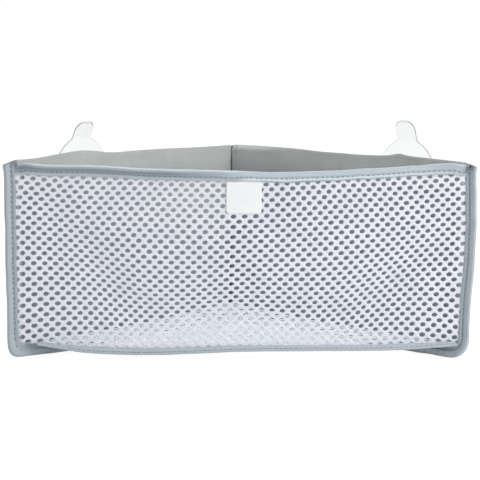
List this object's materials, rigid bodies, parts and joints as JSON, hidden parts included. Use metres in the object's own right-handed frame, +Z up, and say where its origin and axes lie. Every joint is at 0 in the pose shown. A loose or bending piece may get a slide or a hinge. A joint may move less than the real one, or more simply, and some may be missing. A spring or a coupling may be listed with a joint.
{
  "type": "bath toy organizer",
  "caption": "Soft corner caddy with foam-backed walls, a big-hole net front and floor, taped seams, a bare rubber label, and clear suction cups that turn in eyelets.",
  "frame": {"origin": "on the surface that the caddy stands on, under the middle of its box", "axes": "+Z up, +X along the net front to the right as seen from the front, +Y from the front towards the back corner"},
  "size_m": [0.4414, 0.2272, 0.2224],
  "materials": {
    "foam_cloth": "soft jersey face over thin foam",
    "net": "knitted big-hole net",
    "tape": "smooth stretch tape, folded and sewn",
    "thread": "sewing thread",
    "label": "matt moulded soft rubber, bare",
    "eyelet": "moulded plastic",
    "clear_vinyl": "clear moulded soft vinyl"
  },
  "bodies": {
    "bag": {"front_mesh": "net", "bottom_mesh": "net", "left_wall": "foam_cloth", "right_wall": "foam_cloth", "top_binding": "tape", "left_edge_binding": "tape", "right_edge_binding": "tape", "front_bottom_binding": "tape", "back_seam_binding": "tape", "top_thread": "thread", "left_edge_thread": "thread", "right_edge_thread": "thread", "front_bottom_thread": "thread", "back_seam_thread": "thread", "label_patch": "label", "left_eyelet": "eyelet", "left_eyelet_washer": "eyelet", "right_eyelet": "eyelet", "right_eyelet_washer": "eyelet"},
    "left_cup": {"left_suction_cup": "clear_vinyl"},
    "right_cup": {"right_suction_cup": "clear_vinyl"}
  },
  "joints": [
    {"name": "left_cup_turn", "type": "hinge", "parent": "bag", "child": "left_cup", "pos_m": [-0.14469, -0.04166, 0.1735], "axis": [-0.7071, 0.7071, 0], "continuous": true},
    {"name": "right_cup_turn", "type": "hinge", "parent": "bag", "child": "right_cup", "pos_m": [0.15601, -0.05297, 0.1735], "axis": [0.7071, 0.7071, 0], "continuous": true}
  ]
}
